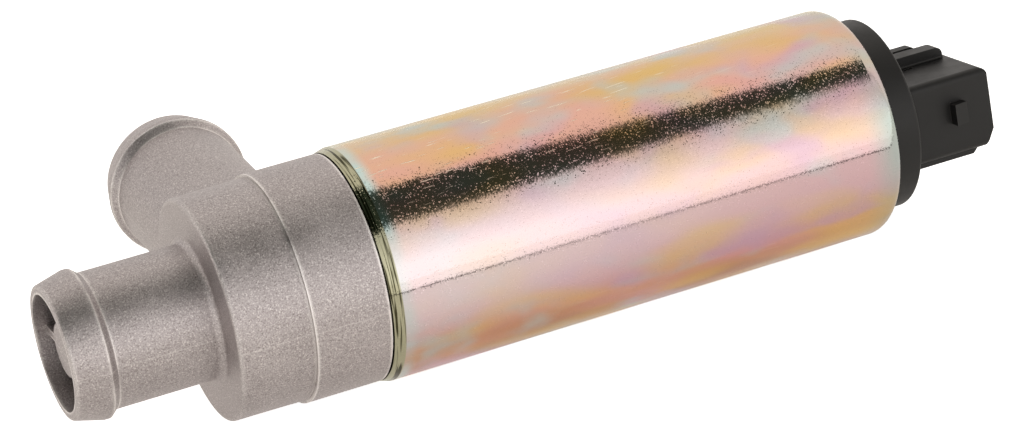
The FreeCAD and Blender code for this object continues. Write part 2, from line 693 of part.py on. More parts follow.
# Moving pieces: rod, armature, spool and its clip
turned("valve_rod", [("rod_front", "0"), ("rod_front", "rod_radius"), ("clip_front", "rod_radius"),
                     ("clip_front", "clip_inside"), ("spool_hub_front", "clip_inside"),
                     ("spool_hub_front", "rod_radius"), ("spool_hub_back", "rod_radius"),
                     ("spool_hub_back", "rod_collar"), ("spool_hub_back + collar_width", "rod_collar"),
                     ("spool_hub_back + collar_width", "rod_radius"),
                     ("armature_front - collar_width", "rod_radius"),
                     ("armature_front - collar_width", "rod_collar"), ("armature_front", "rod_collar"),
                     ("armature_front", "rod_radius"), ("rod_back", "rod_radius"), ("rod_back", "0")])
turned("armature", [("armature_front", "rod_radius"), ("spring_front", "rod_radius"),
                    ("spring_front", "pocket_radius"), ("armature_back", "pocket_radius"),
                    ("armature_back", "armature_radius"), ("armature_front", "armature_radius")])
spool = turned("valve_spool", [("spool_hub_front", "rod_radius"), ("spool_hub_back", "rod_radius"),
                               ("spool_hub_back", "spool_inside"), ("spool_back", "spool_inside"),
                               ("spool_back", "spool_radius"), ("spool_front", "spool_radius"),
                               ("spool_front", "spool_inside"),
                               ("spool_hub_back - spool_web", "spool_inside"),
                               ("spool_hub_back - spool_web", "spool_hub_diameter / 2"),
                               ("spool_hub_front", "spool_hub_diameter / 2")])
vent = run_along(spool, "vent", "Pocket", "spool_hub_back - spool_web", "spool_hub_back",
                 lambda sketch: circle(sketch, "vent_circle / 2", "0", "vent_diameter / 2"))
repeat_about_axis(spool, vent, "vent_count")
clip = turned("spool_clip", ring_section("clip_front", "spool_hub_front", "clip_inside", "clip_diameter / 2"))
run_along(clip, "clip_opening", "Pocket", "clip_front", "spool_hub_front",
          lambda sketch: rectangle(sketch, "0", "clip_diameter", "-clip_mouth / 2", "clip_mouth / 2"))

# Return spring, coiled about the rod between the armature's pocket and the core's
coil_line = doc.addObject("Part::Helix", "spring_line")
coil_line.setExpression("Radius", formula("spring_diameter / 2"))
coil_line.setExpression("Height", formula("spring_rise"))
coil_line.setExpression("Pitch", formula("spring_rise / spring_turns"))
coil_wire = doc.addObject("Part::Circle", "spring_wire_section")
coil_wire.setExpression("Radius", formula("spring_wire / 2"))
coil_wire.Placement = FreeCAD.Placement(FreeCAD.Vector(), FreeCAD.Rotation(FreeCAD.Vector(1, 0, 0), 90))
coil_wire.setExpression("Placement.Base.x", formula("spring_diameter / 2"))
spring = doc.addObject("Part::Sweep", "return_spring")
doc.recompute()
spring.Sections = [coil_wire]
spring.Spine = (coil_line, ["Edge%d" % (index + 1) for index in range(len(coil_line.Shape.Edges))])
spring.Solid = True
spring.Frenet = True
spring.Placement = FreeCAD.Placement(FreeCAD.Vector(), FreeCAD.Rotation(FreeCAD.Vector(0, 1, 0), 90))
spring.setExpression("Placement.Base.x", formula("spring_front + spring_wire / 2 + fit_gap"))

doc.recompute()
plain_pieces = ("body_seal", "cap_seal", "return_spring")
pieces = [item for item in doc.Objects
          if item.isDerivedFrom("PartDesign::Body") or item.Label in plain_pieces]
for item in doc.Objects:
    if "Invalid" in item.State or "Error" in item.State:
        raise RuntimeError("%s failed: %s" % (item.Label, item.State))
for piece in pieces:
    if piece.Shape.isNull() or not piece.Shape.isValid() or not piece.Shape.Solids:
        raise RuntimeError(piece.Label + " has no valid solid")

os.makedirs("parts", exist_ok=True)
for piece in pieces:
    piece.Shape.exportStep("parts/%s.step" % piece.Label)
    print("%-20s %10.1f mm3  %d solid" % (piece.Label, piece.Shape.Volume, len(piece.Shape.Solids)))
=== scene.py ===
import math

import bpy
from mathutils import Matrix, Vector


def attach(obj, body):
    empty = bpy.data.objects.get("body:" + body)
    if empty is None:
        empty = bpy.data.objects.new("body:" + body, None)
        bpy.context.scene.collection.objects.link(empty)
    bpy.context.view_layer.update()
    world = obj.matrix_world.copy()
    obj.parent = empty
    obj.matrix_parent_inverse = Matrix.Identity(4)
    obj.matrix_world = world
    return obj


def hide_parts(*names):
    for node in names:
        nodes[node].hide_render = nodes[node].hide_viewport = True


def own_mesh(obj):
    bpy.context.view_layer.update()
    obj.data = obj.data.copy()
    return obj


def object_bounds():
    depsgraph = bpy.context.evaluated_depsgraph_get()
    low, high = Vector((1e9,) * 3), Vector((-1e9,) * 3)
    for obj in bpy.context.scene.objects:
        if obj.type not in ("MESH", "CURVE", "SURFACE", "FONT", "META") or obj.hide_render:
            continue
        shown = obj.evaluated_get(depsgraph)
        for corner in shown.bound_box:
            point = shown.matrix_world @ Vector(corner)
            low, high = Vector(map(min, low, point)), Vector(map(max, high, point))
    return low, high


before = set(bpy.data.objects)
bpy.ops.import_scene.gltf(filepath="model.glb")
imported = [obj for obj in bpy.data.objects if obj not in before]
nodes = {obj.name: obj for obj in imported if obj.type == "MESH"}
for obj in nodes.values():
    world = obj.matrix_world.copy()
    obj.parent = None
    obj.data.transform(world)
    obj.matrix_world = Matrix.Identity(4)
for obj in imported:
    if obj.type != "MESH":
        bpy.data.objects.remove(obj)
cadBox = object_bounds()
print("frame loaded, nodes:", len(nodes))

mixFrom, mixTo, mixOut = 6, 7, 2  # sockets of a colour mix, whose names aren't unique
noiseMean = 0.5
noiseSpan = (0.3, 0.7)  # where most values of a noise lie
shadeSamples = 6
mergeDistance = 1e-6  # metres


def hexShade(code):
    # sRGB to linear
    shade = []
    for place in (0, 2, 4):
        part = int(code[place:place + 2], 16) / 255
        shade.append(part / 12.92 if part <= 0.04045 else ((part + 0.055) / 1.055) ** 2.4)
    return (*shade, 1.0)


def dimmed(code, level):
    red, green, blue, whole = hexShade(code)
    return (red * level, green * level, blue * level, whole)


def perMetre(sizeMm):
    return 1000 / sizeMm  # pattern scale that gives marks of about this size


def metres(sizeMm):
    return sizeMm / 1000


def addNode(tree, kind, settings, feeds):
    node = tree.nodes.new(kind)
    for name, setting in settings.items():
        if name == "stops":
            stops = node.color_ramp.elements
            while len(stops) < len(setting):
                stops.new(1.0)
            for stop, (place, shade) in zip(stops, setting):
                stop.position = place
                stop.color = shade
        else:
            setattr(node, name, setting)
    single = {}
    for socket, feed in feeds.items():
        if socket in ("From", "To"):  # both ends of a range
            single[socket + " Min"], single[socket + " Max"] = feed
        else:
            single[socket] = feed
    for socket, feed in single.items():
        if isinstance(feed, bpy.types.NodeSocket):
            tree.links.new(feed, node.inputs[socket])
        else:
            node.inputs[socket].default_value = feed
    return node


def newFinish(name, metallic):
    finish = bpy.data.materials.new(name)
    finish.use_nodes = True
    tree = finish.node_tree
    shader = tree.nodes["Principled BSDF"]
    shader.inputs["Metallic"].default_value = metallic
    place = addNode(tree, "ShaderNodeTexCoord", {}, {}).outputs["Object"]
    return finish, tree, shader, place


def angleAround(tree, parts):
    # radians up from the front, over the top, around the valve's axis
    front = addNode(tree, "ShaderNodeMath", {"operation": "MULTIPLY"}, {0: parts.outputs["Y"], 1: -1.0})
    return addNode(tree, "ShaderNodeMath", {"operation": "ARCTAN2"},
                   {0: parts.outputs["Z"], 1: front.outputs["Value"]}).outputs["Value"]


def turnShare(tree, angle):
    # the angle as a share of one turn that starts and ends behind, for a ramp
    return addNode(tree, "ShaderNodeMath", {"operation": "MULTIPLY_ADD"},
                   {0: angle, 1: 1 / (2 * math.pi), 2: 0.5}).outputs["Value"]


def rampPlace(degrees):
    return degrees / 360 + 0.5


def edgeShare(tree, edgeMm, leanSpan):
    # full on sharp edges, where a rounded normal leans away from the flat one
    rounded = addNode(tree, "ShaderNodeBevel", {"samples": shadeSamples}, {"Radius": metres(edgeMm)})
    flat = addNode(tree, "ShaderNodeNewGeometry", {}, {})
    lean = addNode(tree, "ShaderNodeVectorMath", {"operation": "DOT_PRODUCT"},
                   {0: rounded.outputs["Normal"], 1: flat.outputs["Normal"]})
    return addNode(tree, "ShaderNodeMapRange", {"interpolation_type": "SMOOTHSTEP"},
                   {"Value": lean.outputs["Value"], "From": leanSpan}).outputs["Result"]


def sheen(tree, noise, limits):
    return addNode(tree, "ShaderNodeMapRange", {},
                   {"Value": noise, "From": noiseSpan, "To": limits}).outputs["Result"]


def wear(names, finish):
    for name in names:
        nodes[name].data.materials.clear()
        nodes[name].data.materials.append(finish)


def pickOnly(piece):
    bpy.ops.object.select_all(action="DESELECT")
    bpy.context.view_layer.objects.active = piece
    piece.select_set(True)


def mergedCopy(name, node):
    piece = bpy.data.objects.new(name, nodes[node].data.copy())
    bpy.context.scene.collection.objects.link(piece)
    pickOnly(piece)
    bpy.ops.mesh.customdata_custom_splitnormals_clear()
    bpy.ops.object.mode_set(mode="EDIT")
    bpy.ops.mesh.select_all(action="SELECT")
    bpy.ops.mesh.remove_doubles(threshold=mergeDistance)
    bpy.ops.object.mode_set(mode="OBJECT")
    return piece


# camera, where the picture was taken from: metres, in the part's own frame
cameraLook = {
    "place": (-0.20808, -0.48520, 0.25064),
    "right": (0.9058, -0.4106, -0.1057),
    "up": (0.2665, 0.3577, 0.8950),
    "lensMm": 126.4,
    "sensorMm": 36.0,
    "clip": (0.01, 20),
}
lens = bpy.data.cameras.new("pictureCamera")
lens.lens = cameraLook["lensMm"]
lens.sensor_width = cameraLook["sensorMm"]
lens.sensor_fit = "HORIZONTAL"
lens.clip_start, lens.clip_end = cameraLook["clip"]
camera = bpy.data.objects.new("pictureCamera", lens)
bpy.context.scene.collection.objects.link(camera)
right = Vector(cameraLook["right"]).normalized()
up = Vector(cameraLook["up"])
up = (up - up.dot(right) * right).normalized()
turn = Matrix((right, up, right.cross(up))).transposed()
camera.matrix_world = Matrix.Translation(cameraLook["place"]) @ turn.to_4x4()
bpy.context.scene.camera = camera
print("camera set")


# studio: a long soft box in front, a dark gap overhead that narrows to one end, a back wall, a white table
studioLook = {
    "power": 2.0,
    "bands": [  # degrees up from the front, over the top and down at the back
        (-180, "FFFFFF", 0.45), (-20, "FFFFFF", 0.45), (-10, "FFFBF8", 0.70), (14, "FFFBF8", 0.70),
        (50, "FFFCF8", 0.40), (60, "FDF6EE", 0.50), (110, "FDF6EE", 0.52), (180, "FDF8F4", 0.45),
    ],
    "gapLow": (51, 4),  # the gap's lower and upper edge in degrees, and how they move along it
    "gapHigh": (95, -12),
    "gapSoft": (2, 9),  # the lower edge's softness in degrees, and how it grows
    "leastSoft": 2.0,
    "highSoft": 2.5,
    "gapLean": (0.206, 0.57),  # the ray's x where the edges' run starts and ends
    "gapRun": (-0.6, 2.0),
    "gapShade": "E2FFE2",
    "gapLevel": 0.025,
    "floorShades": ("F4F3F1", "FFFFFF"),
    "floorLight": "FFFFFF",
    "floorGlow": 0.85,
    "floorSize": 5.0,
    "fibreMm": 3.0,
    "roughness": 0.9,
    "cardSize": 3.0,
    "cardLift": 0.0002,
    "cardLight": "FFFAF3",
    "cardGlow": 1.25,
    "cardShade": "D6D3D0",
    "tableGlow": 0.43,
    "stripShade": "2E1C12",
    "cardNear": -0.124,  # a grey card under the part and the soft box's foot, seen only as reflections
    "cardGap": -0.141,
}
world = bpy.data.worlds.new("softStudio")
bpy.context.scene.world = world
world.use_nodes = True
sky = world.node_tree
ray = addNode(sky, "ShaderNodeTexCoord", {}, {})
rayParts = addNode(sky, "ShaderNodeSeparateXYZ", {}, {0: ray.outputs["Generated"]})
rayAngle = angleAround(sky, rayParts)
bandStops = [(rampPlace(angle), dimmed(shade, level)) for angle, shade, level in studioLook["bands"]]
bands = addNode(sky, "ShaderNodeValToRGB", {"stops": bandStops}, {0: turnShare(sky, rayAngle)})
degrees = addNode(sky, "ShaderNodeMath", {"operation": "DEGREES"}, {0: rayAngle})
gapRun = addNode(sky, "ShaderNodeMapRange", {},
                 {"Value": rayParts.outputs["X"], "From": studioLook["gapLean"], "To": studioLook["gapRun"]})
gapEdges = {}
for edge in ("gapLow", "gapHigh", "gapSoft"):
    start, move = studioLook[edge]
    gapEdges[edge] = addNode(sky, "ShaderNodeMath", {"operation": "MULTIPLY_ADD"},
                             {0: gapRun.outputs["Result"], 1: move, 2: start}).outputs["Value"]
softWidth = addNode(sky, "ShaderNodeMath", {"operation": "MAXIMUM"},
                    {0: gapEdges["gapSoft"], 1: studioLook["leastSoft"]})
lowEnd = addNode(sky, "ShaderNodeMath", {"operation": "ADD"},
                 {0: gapEdges["gapLow"], 1: softWidth.outputs["Value"]})
aboveLow = addNode(sky, "ShaderNodeMapRange", {},
                   {"Value": degrees.outputs["Value"], "From": (gapEdges["gapLow"], lowEnd.outputs["Value"])})
highEnd = addNode(sky, "ShaderNodeMath", {"operation": "SUBTRACT"},
                  {0: gapEdges["gapHigh"], 1: studioLook["highSoft"]})
belowHigh = addNode(sky, "ShaderNodeMapRange", {},
                    {"Value": degrees.outputs["Value"],
                     "From": (gapEdges["gapHigh"], highEnd.outputs["Value"])})
inGap = addNode(sky, "ShaderNodeMath", {"operation": "MULTIPLY"},
                {0: aboveLow.outputs["Result"], 1: belowHigh.outputs["Result"]})
light = addNode(sky, "ShaderNodeMix", {"data_type": "RGBA"},
                {"Factor": inGap.outputs["Value"], mixFrom: bands.outputs["Color"],
                 mixTo: dimmed(studioLook["gapShade"], studioLook["gapLevel"])})
glow = sky.nodes["Background"]
glow.inputs["Strength"].default_value = studioLook["power"]
sky.links.new(light.outputs[mixOut], glow.inputs["Color"])


def addSheet(name, size, height):
    bpy.ops.mesh.primitive_plane_add(size=size, location=(0, 0, height))
    sheet = bpy.context.object
    sheet.name = name
    return sheet


floor = addSheet("floor", studioLook["floorSize"], cadBox[0][2])
paper, tree, shader, place = newFinish("whiteTablePaper", 0.0)
fibres = addNode(tree, "ShaderNodeTexNoise", {},
                 {"Vector": place, "Scale": perMetre(studioLook["fibreMm"]), "Detail": 3})
paperShade = addNode(tree, "ShaderNodeMix", {"data_type": "RGBA"},
                     {"Factor": fibres.outputs["Fac"], mixFrom: hexShade(studioLook["floorShades"][0]),
                      mixTo: hexShade(studioLook["floorShades"][1])})
tree.links.new(paperShade.outputs[mixOut], shader.inputs["Base Color"])
shader.inputs["Roughness"].default_value = studioLook["roughness"]
shader.inputs["Emission Color"].default_value = hexShade(studioLook["floorLight"])
shader.inputs["Emission Strength"].default_value = studioLook["floorGlow"]
floor.data.materials.append(paper)

card = addSheet("reflectionCard", studioLook["cardSize"], cadBox[0][2] + studioLook["cardLift"])
cardFinish, tree, shader, place = newFinish("reflectionCard", 0.0)
cardParts = addNode(tree, "ShaderNodeSeparateXYZ", {}, {0: place})
lit = addNode(tree, "ShaderNodeMath", {"operation": "LESS_THAN"},
              {0: cardParts.outputs["Y"], 1: studioLook["cardGap"]})
onTable = addNode(tree, "ShaderNodeMath", {"operation": "GREATER_THAN"},
                  {0: cardParts.outputs["Y"], 1: studioLook["cardNear"]})
tableLevel = addNode(tree, "ShaderNodeMath", {"operation": "MULTIPLY"},
                     {0: onTable.outputs["Value"], 1: studioLook["tableGlow"]})
litLevel = addNode(tree, "ShaderNodeMath", {"operation": "MULTIPLY_ADD"},
                   {0: lit.outputs["Value"], 1: studioLook["cardGlow"], 2: tableLevel.outputs["Value"]})
cardShade = addNode(tree, "ShaderNodeMix", {"data_type": "RGBA"},
                    {"Factor": onTable.outputs["Value"], mixFrom: hexShade(studioLook["stripShade"]),
                     mixTo: hexShade(studioLook["cardShade"])})
tree.links.new(cardShade.outputs[mixOut], shader.inputs["Base Color"])
tree.links.new(litLevel.outputs["Value"], shader.inputs["Emission Strength"])
shader.inputs["Roughness"].default_value = studioLook["roughness"]
shader.inputs["Specular IOR Level"].default_value = 0.0
shader.inputs["Emission Color"].default_value = hexShade(studioLook["cardLight"])
card.data.materials.append(cardFinish)
card.visible_camera = False
card.visible_diffuse = False
card.visible_shadow = False
bpy.context.scene.view_settings.view_transform = "Standard"
print("studio set")


# tumbled cast aluminium: grey with a warm cast, fine sparkling grain with painted glints, bright rubbed
# edges, painted shade in the corners
castLook = {
    "light": "C4BDBD",
    "dark": "A09898",
    "rubbed": "F6F2EF",
    # painted shade colour for the creases
    "paintedCreaseShade": "4A4442",
    # painted glint colour
    "paintedGlint": "EAE5E2",
    "pit": "7A7370",
    "cloudMm": 7.0,
    "grainMm": 0.24,  # real grain is finer, drawn coarser to show
    "paintedGlintSpan": (0.52, 0.70),  # of the grain's noise, as is the next
    "pitSpan": (0.47, 0.30),
    "grainShare": (0.0, 0.75),
    "dimpleMm": 0.8,
    "dimpleRelief": 0.6,  # compared with the grain's
    "edgeMm": 0.8,
    "edgeLean": (0.996, 0.95),  # cosine of the lean
    "edgeBreaks": (0.30, 0.48),  # of the cloud's noise
    "creaseMm": 1.6,
    "creaseSpan": (0.72, 0.25),
    "roughness": (0.40, 0.52),
    "reliefMm": 0.055,
    "reliefStrength": 0.9,
    "seamMm": 0.35,  # width of the mould's parting line
    "seamWanderMm": 1.2,
    "seamShare": (0.0, 0.22),
    "seamRelief": 0.6,
}


def makeCastAluminium(look):
    finish, tree, shader, place = newFinish("tumbledCastAluminium", 1.0)
    cloud = addNode(tree, "ShaderNodeTexNoise", {},
                    {"Vector": place, "Scale": perMetre(look["cloudMm"]), "Detail": 4, "Roughness": 0.6})
    grain = addNode(tree, "ShaderNodeTexNoise", {},
                    {"Vector": place, "Scale": perMetre(look["grainMm"]), "Detail": 2, "Roughness": 0.7})
    dimple = addNode(tree, "ShaderNodeTexVoronoi", {"feature": "SMOOTH_F1"},
                     {"Vector": place, "Scale": perMetre(look["dimpleMm"]), "Smoothness": 0.6})
    skin = addNode(tree, "ShaderNodeMix", {"data_type": "RGBA"},
                   {"Factor": cloud.outputs["Fac"], mixFrom: hexShade(look["dark"]),
                    mixTo: hexShade(look["light"])})
    # bright specks painted into the colour as glints
    paintedGlints = addNode(tree, "ShaderNodeMapRange", {"interpolation_type": "SMOOTHSTEP"},
                     {"Value": grain.outputs["Fac"], "From": look["paintedGlintSpan"], "To": look["grainShare"]})
    paintedGlinting = addNode(tree, "ShaderNodeMix", {"data_type": "RGBA"},
                       {"Factor": paintedGlints.outputs["Result"], mixFrom: skin.outputs[mixOut],
                        mixTo: hexShade(look["paintedGlint"])})
    pits = addNode(tree, "ShaderNodeMapRange", {"interpolation_type": "SMOOTHSTEP"},
                   {"Value": grain.outputs["Fac"], "From": look["pitSpan"], "To": look["grainShare"]})
    pitted = addNode(tree, "ShaderNodeMix", {"data_type": "RGBA"},
                     {"Factor": pits.outputs["Result"], mixFrom: paintedGlinting.outputs[mixOut],
                      mixTo: hexShade(look["pit"])})
    # edges rubbed bright where the castings knocked together; the creases get painted shade, darker where the
    # ambient occlusion is
    shelter = addNode(tree, "ShaderNodeAmbientOcclusion", {"samples": shadeSamples},
                      {"Distance": metres(look["creaseMm"])})
    crease = addNode(tree, "ShaderNodeMapRange", {"interpolation_type": "SMOOTHSTEP"},
                     {"Value": shelter.outputs["AO"], "From": look["creaseSpan"]})
    broken = addNode(tree, "ShaderNodeMapRange", {},
                     {"Value": cloud.outputs["Fac"], "From": look["edgeBreaks"]})
    rub = addNode(tree, "ShaderNodeMath", {"operation": "MULTIPLY"},
                  {0: edgeShare(tree, look["edgeMm"], look["edgeLean"]), 1: broken.outputs["Result"]})
    # painted shade in the creases
    creaseShaded = addNode(tree, "ShaderNodeMix", {"data_type": "RGBA"},
                    {"Factor": crease.outputs["Result"], mixFrom: pitted.outputs[mixOut],
                     mixTo: hexShade(look["paintedCreaseShade"])})
    worn = addNode(tree, "ShaderNodeMix", {"data_type": "RGBA"},
                   {"Factor": rub.outputs["Value"], mixFrom: creaseShaded.outputs[mixOut],
                    mixTo: hexShade(look["rubbed"])})
    # the mould's parting line, level with the axis
    parts = addNode(tree, "ShaderNodeSeparateXYZ", {}, {0: place})
    wanderReach = metres(look["seamWanderMm"])
    wander = addNode(tree, "ShaderNodeMath", {"operation": "MULTIPLY_ADD"},
                     {0: cloud.outputs["Fac"], 1: wanderReach, 2: -wanderReach / 2})
    level = addNode(tree, "ShaderNodeMath", {"operation": "ADD"},
                    {0: parts.outputs["Z"], 1: wander.outputs["Value"]})
    offSeam = addNode(tree, "ShaderNodeMath", {"operation": "ABSOLUTE"}, {0: level.outputs["Value"]})
    seam = addNode(tree, "ShaderNodeMapRange", {"interpolation_type": "SMOOTHSTEP"},
                   {"Value": offSeam.outputs["Value"], "From": (metres(look["seamMm"]) / 2, 0.0),
                    "To": look["seamShare"]})
    seamed = addNode(tree, "ShaderNodeMix", {"data_type": "RGBA"},
                     {"Factor": seam.outputs["Result"], mixFrom: worn.outputs[mixOut],
                      mixTo: hexShade(look["rubbed"])})
    tree.links.new(seamed.outputs[mixOut], shader.inputs["Base Color"])
    tree.links.new(sheen(tree, cloud.outputs["Fac"], look["roughness"]), shader.inputs["Roughness"])
    relief = addNode(tree, "ShaderNodeMath", {"operation": "MULTIPLY_ADD"},
                     {0: dimple.outputs["Distance"], 1: look["dimpleRelief"], 2: grain.outputs["Fac"]})
    ridged = addNode(tree, "ShaderNodeMath", {"operation": "MULTIPLY_ADD"},
                     {0: seam.outputs["Result"], 1: look["seamRelief"], 2: relief.outputs["Value"]})
    bump = addNode(tree, "ShaderNodeBump", {},
                   {"Height": ridged.outputs["Value"], "Distance": metres(look["reliefMm"]),
                    "Strength": look["reliefStrength"]})
    tree.links.new(bump.outputs["Normal"], shader.inputs["Normal"])
    return finish


castAluminium = makeCastAluminium(castLook)


# the spider in the axial nipple, whose hub stands forward in the mouth: metres along the axis and from it
spiderLook = {
    "oldSpokes": (-0.0921, -0.0850),
    "oldReach": (0.00505, 0.00944),
    "oldLean": 0.7,  # faces that look outwards more than this are the hub's or the bore's
    "noseFront": -0.09375,
    "noseFoot": -0.09240,
    "noseRadii": (0.00498, 0.0043),  # at its foot and at its front
    "noseSides": 72,
    "noseEdge": 0.0004,
    "spokeAlong": (-0.0933, -0.08505),
    "spokeReach": (0.0044, 0.0102),
    "spokeWidth": 0.0015,
    "spokeEdge": 0.0004,
    "spokeAngles": (-3, 117, 237),
    "edgeSteps": 3,
    "edgeFacing": -0.9,
    "smoothDegrees": 32,
}


def applySpot():
    bpy.ops.object.transform_apply(location=True, rotation=True, scale=True)


def roundFrontEdges(piece, frontX, edge, look):
    # the edges around the face that looks out of the mouth
    for face in piece.data.polygons:
        face.select = abs(face.center.x - frontX) < edge and face.normal.x < look["edgeFacing"]
    bpy.ops.object.mode_set(mode="EDIT")
    bpy.ops.mesh.select_mode(type="FACE")
    bpy.ops.mesh.region_to_loop()
    bpy.ops.mesh.bevel(offset=edge, segments=look["edgeSteps"], affect="EDGES")
    bpy.ops.object.mode_set(mode="OBJECT")


def makeSpiderPieces(look):
    depth = look["noseFoot"] - look["noseFront"]
    bpy.ops.mesh.primitive_cone_add(
        vertices=look["noseSides"], radius1=look["noseRadii"][0], radius2=look["noseRadii"][1], depth=depth,
        location=(look["noseFront"] + depth / 2, 0, 0), rotation=(0, -math.pi / 2, 0))
    nose = bpy.context.object
    applySpot()
    roundFrontEdges(nose, look["noseFront"], look["noseEdge"], look)
    pieces = [nose]
    front, back = look["spokeAlong"]
    inner, outer = look["spokeReach"]
    for angle in look["spokeAngles"]:
        bpy.ops.mesh.primitive_cube_add(size=1, location=((front + back) / 2, (inner + outer) / 2, 0))
        spoke = bpy.context.object
        spoke.scale = (back - front, outer - inner, look["spokeWidth"])
        applySpot()
        roundFrontEdges(spoke, front, look["spokeEdge"], look)
        spoke.rotation_euler = (math.radians(angle), 0, 0)
        applySpot()
        pieces.append(spoke)
    return pieces


def makeCastBody(look, finish):
    body = mergedCopy("castBody", "valve_body")
    for corner in body.data.vertices:
        corner.select = False
    for rim in body.data.edges:
        rim.select = False
    for face in body.data.polygons:
        outward = Vector((0, face.center.y, face.center.z))
        along = look["oldSpokes"][0] < face.center.x < look["oldSpokes"][1]
        across = look["oldReach"][0] < outward.length < look["oldReach"][1]
        face.select = along and across and abs(face.normal.dot(outward.normalized())) < look["oldLean"]
    bpy.ops.object.mode_set(mode="EDIT")
    bpy.ops.mesh.select_mode(type="FACE")
    bpy.ops.mesh.delete(type="FACE")
    bpy.ops.mesh.select_all(action="SELECT")
    bpy.ops.mesh.fill_holes(sides=0)
    bpy.ops.object.mode_set(mode="OBJECT")
    for tool in makeSpiderPieces(look):
        pickOnly(body)
        joinUp = body.modifiers.new("joinUp", "BOOLEAN")
        joinUp.operation = "UNION"
        joinUp.solver = "EXACT"
        joinUp.object = tool
        bpy.ops.object.modifier_apply(modifier="joinUp")
        bpy.data.objects.remove(tool)
    bpy.ops.object.mode_set(mode="EDIT")
    bpy.ops.mesh.select_all(action="SELECT")
    bpy.ops.mesh.dissolve_degenerate(threshold=mergeDistance)
    bpy.ops.object.mode_set(mode="OBJECT")
    bpy.ops.object.shade_smooth_by_angle(angle=math.radians(look["smoothDegrees"]))
    body.data.materials.clear()
    body.data.materials.append(finish)
    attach(body, "housing")
    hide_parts("valve_body")
    return body


castBody = makeCastBody(spiderLook, castAluminium)
print("body cast, faces:", len(castBody.data.polygons))


# yellow passivated zinc on a drawn can: bright metal under a thin film that drifts through pink, gold,
# lilac and blue-grey, with a hairy polish around it, light scratches and dull flecks;
# a painted highlight along the front, a painted reflection on the rear shoulder and painted shade towards the
# bottom
zincLook = {
    "around": [  # degrees up from the front, over the top; darker towards the bottom as painted shade
        (-180, "CFA982"), (-80, "7E5848"), (-58, "986C54"), (-40, "CC9A7C"), (-24, "D8A3A0"), (-8, "D6ACB2"),
        (35, "E2C0C0"), (58, "E0ACA4"), (76, "E2B49E"), (96, "E0C294"), (116, "D2BE86"), (180, "CFA982"),
    ],
    "layers": {  # each noise's detail, and how far its pattern is shifted
        "drift": (2, (6.2, 8.5, 0.4)),
        "cloud": (2, (6.2, 8.5, 0.4)),
        "gold": (1, (3.1, 6.8, 0.4)),
        "hair": (1, (3.1, 6.8, 0.4)),
        "lipLine": (2, (6.2, 11.9, 0.4)),
    },
    "driftMm": (26.0, 9.0),  # along the can and across it, as for the other noises
    "driftTurn": 0.9,  # how far the drift pulls the colours around, in radians
    "cloudMm": (12.0, 7.5),
    "cloudSpan": (0.42, 0.72),
    "cloudShare": (0.0, 0.75),
    "cloudShades": ("B8CACB", "CBA6BE"),
    "cloudSides": (0.40, 0.60),
    "goldMm": (18.0, 7.0),
    "goldSpan": (0.40, 0.74),
    "goldShare": (0.0, 0.7),
    "goldShade": "E0BC62",
    # painted highlight colour for the band along the front
    "paintedHighlightShade": "E9DBDF",
    "paintedHighlightMiddle": 0.22,  # of the painted highlight band in front, in radians
    "paintedHighlightReach": (0.75, 0.1),
    "paintedHighlightPlace": (0.020, -0.036),  # places are metres along the axis
    "paintedHighlightShare": (0.25, 0.8),
    "rimShade": "C2DAD8",
    "rimPlace": (-0.0418, -0.0440),
    "rimSpan": (0.35, 0.6),
    "rimShare": (0.3, 0.95),
    # painted reflection colour for the rear shoulder
    "paintedShoulderReflection": "A6C4BE",
    "shoulderPlace": (0.0370, 0.0430),
    "shoulderShare": (0.25, 0.70),
    "hairMm": (0.15, 0.7),  # polishing hairs are finer, drawn coarser to show
    "hairLean": (0.03, 0.11),
    "hairRound": (0.25, 0.75),  # radians up from the front where the lean grows
    "sparkMm": 0.18,  # single bright grains, drawn coarser to show
    "sparkLean": 2.1,  # compared with the hairs
    "sparkRare": 0.84,
    "scratchMm": (10.0, 0.34),
    "scratchTurn": (0, 0.05, 0.09),
    "scratchSpan": (0.69, 0.73),
    "scratchPlace": (0.018, -0.006),
    "scratchShare": (0.15, 0.9),
    "scratchRound": (0.7, 1.1),  # radians up from the front where the groups start
    "scratchFew": 0.08,
    "scratchShade": "F6ECD6",
    "fleckMm": 0.34,
    "fleckDot": (0.42, 0.18),
    "fleckPick": (0.35, 1.0),
    "roughness": (0.07, 0.12),
    "fleckRoughness": 0.5,
    "reliefMm": 0.010,
    "lipPlace": (-0.0443, -0.0445),
    "lipShades": ("45432F", "B3B196"),
    "lipLineMm": (0.34, 9.0),
    "lipSpan": (0.40, 0.54),
}


